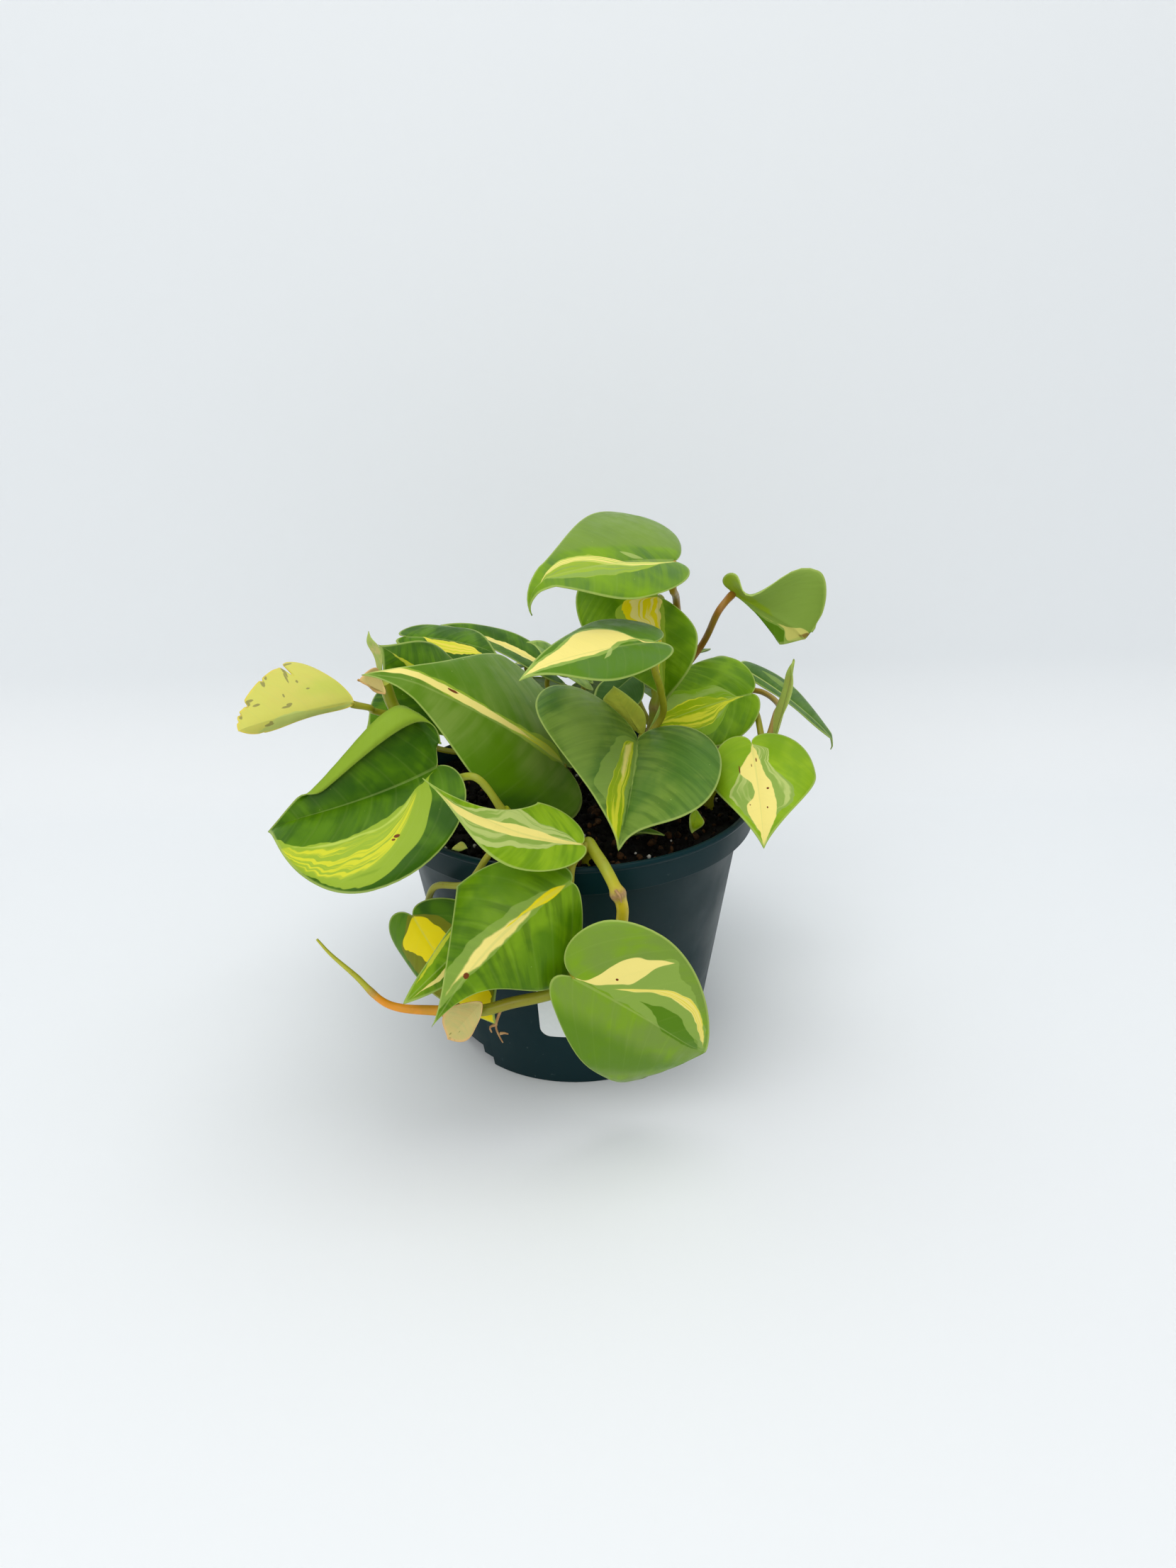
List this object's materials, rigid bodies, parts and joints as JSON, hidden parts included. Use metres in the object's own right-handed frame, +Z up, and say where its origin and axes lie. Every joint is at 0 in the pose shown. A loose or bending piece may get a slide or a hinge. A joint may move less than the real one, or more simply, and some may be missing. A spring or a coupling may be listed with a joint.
{
  "type": "potted brasil philodendron",
  "caption": "Small trailing heart-leaf philodendron with cream-striped leaves, rooted in soil in a tapered round nursery pot.",
  "frame": {"origin": "centre of the pot's underside, on the surface the pot stands on", "axes": "+Z up; -Y is the side the front vine hangs over, seen in the picture; +X to its right"},
  "size_m": [0.1673, 0.1461, 0.1519],
  "materials": {
    "pot": "satin dark green plastic",
    "label": "blank white sticker",
    "soil": null,
    "stem": "fresh olive green vine",
    "leaf": "waxy green leaf with a cream and lime stripe",
    "young_leaf": "soft lime green young leaf",
    "sheath": "dry, thin and translucent"
  },
  "bodies": {
    "root": {"pot": "pot", "label": "label", "soil": "soil", "stem_front": "stem", "stem_front_left": "stem", "stem_left": "stem", "stem_middle_left": "stem", "stem_centre": "stem", "stem_tall": "stem", "stem_right": "stem", "stem_far_right": "stem", "stem_back": "stem", "stem_back_left": "stem", "leaf_top": "leaf", "leaf_upper_middle": "leaf", "leaf_upper_yellow": "leaf", "leaf_right_high": "leaf", "leaf_right_heart": "leaf", "leaf_right_behind": "leaf", "leaf_right_long": "leaf", "leaf_right_low": "leaf", "leaf_centre": "leaf", "leaf_left_big": "leaf", "leaf_left_arch": "leaf", "leaf_middle_low": "leaf", "leaf_front": "leaf", "leaf_front_round": "leaf", "leaf_left_low": "leaf", "leaf_left_tucked": "leaf", "leaf_far_left": "leaf", "leaf_back_heart": "leaf", "leaf_left_inner": "leaf", "leaf_left_under": "leaf", "leaf_back_cream": "leaf", "leaf_back_grey": "leaf", "leaf_shaded": "leaf", "leaf_young": "young_leaf", "leaf_sprout": "leaf", "sheath_peach": "sheath", "sheath_slim": "sheath", "sheath_right": "sheath", "sheath_papery": "sheath", "leaf_rear_low_right": "leaf", "leaf_rear_low_middle": "leaf", "leaf_rear_low_left": "leaf", "leaf_rear_high_middle": "leaf", "leaf_rear_high_left": "leaf", "leaf_rear_high_right": "leaf", "leaf_rear_side_left": "leaf", "leaf_rear_side_right": "leaf"}
  },
  "joints": []
}
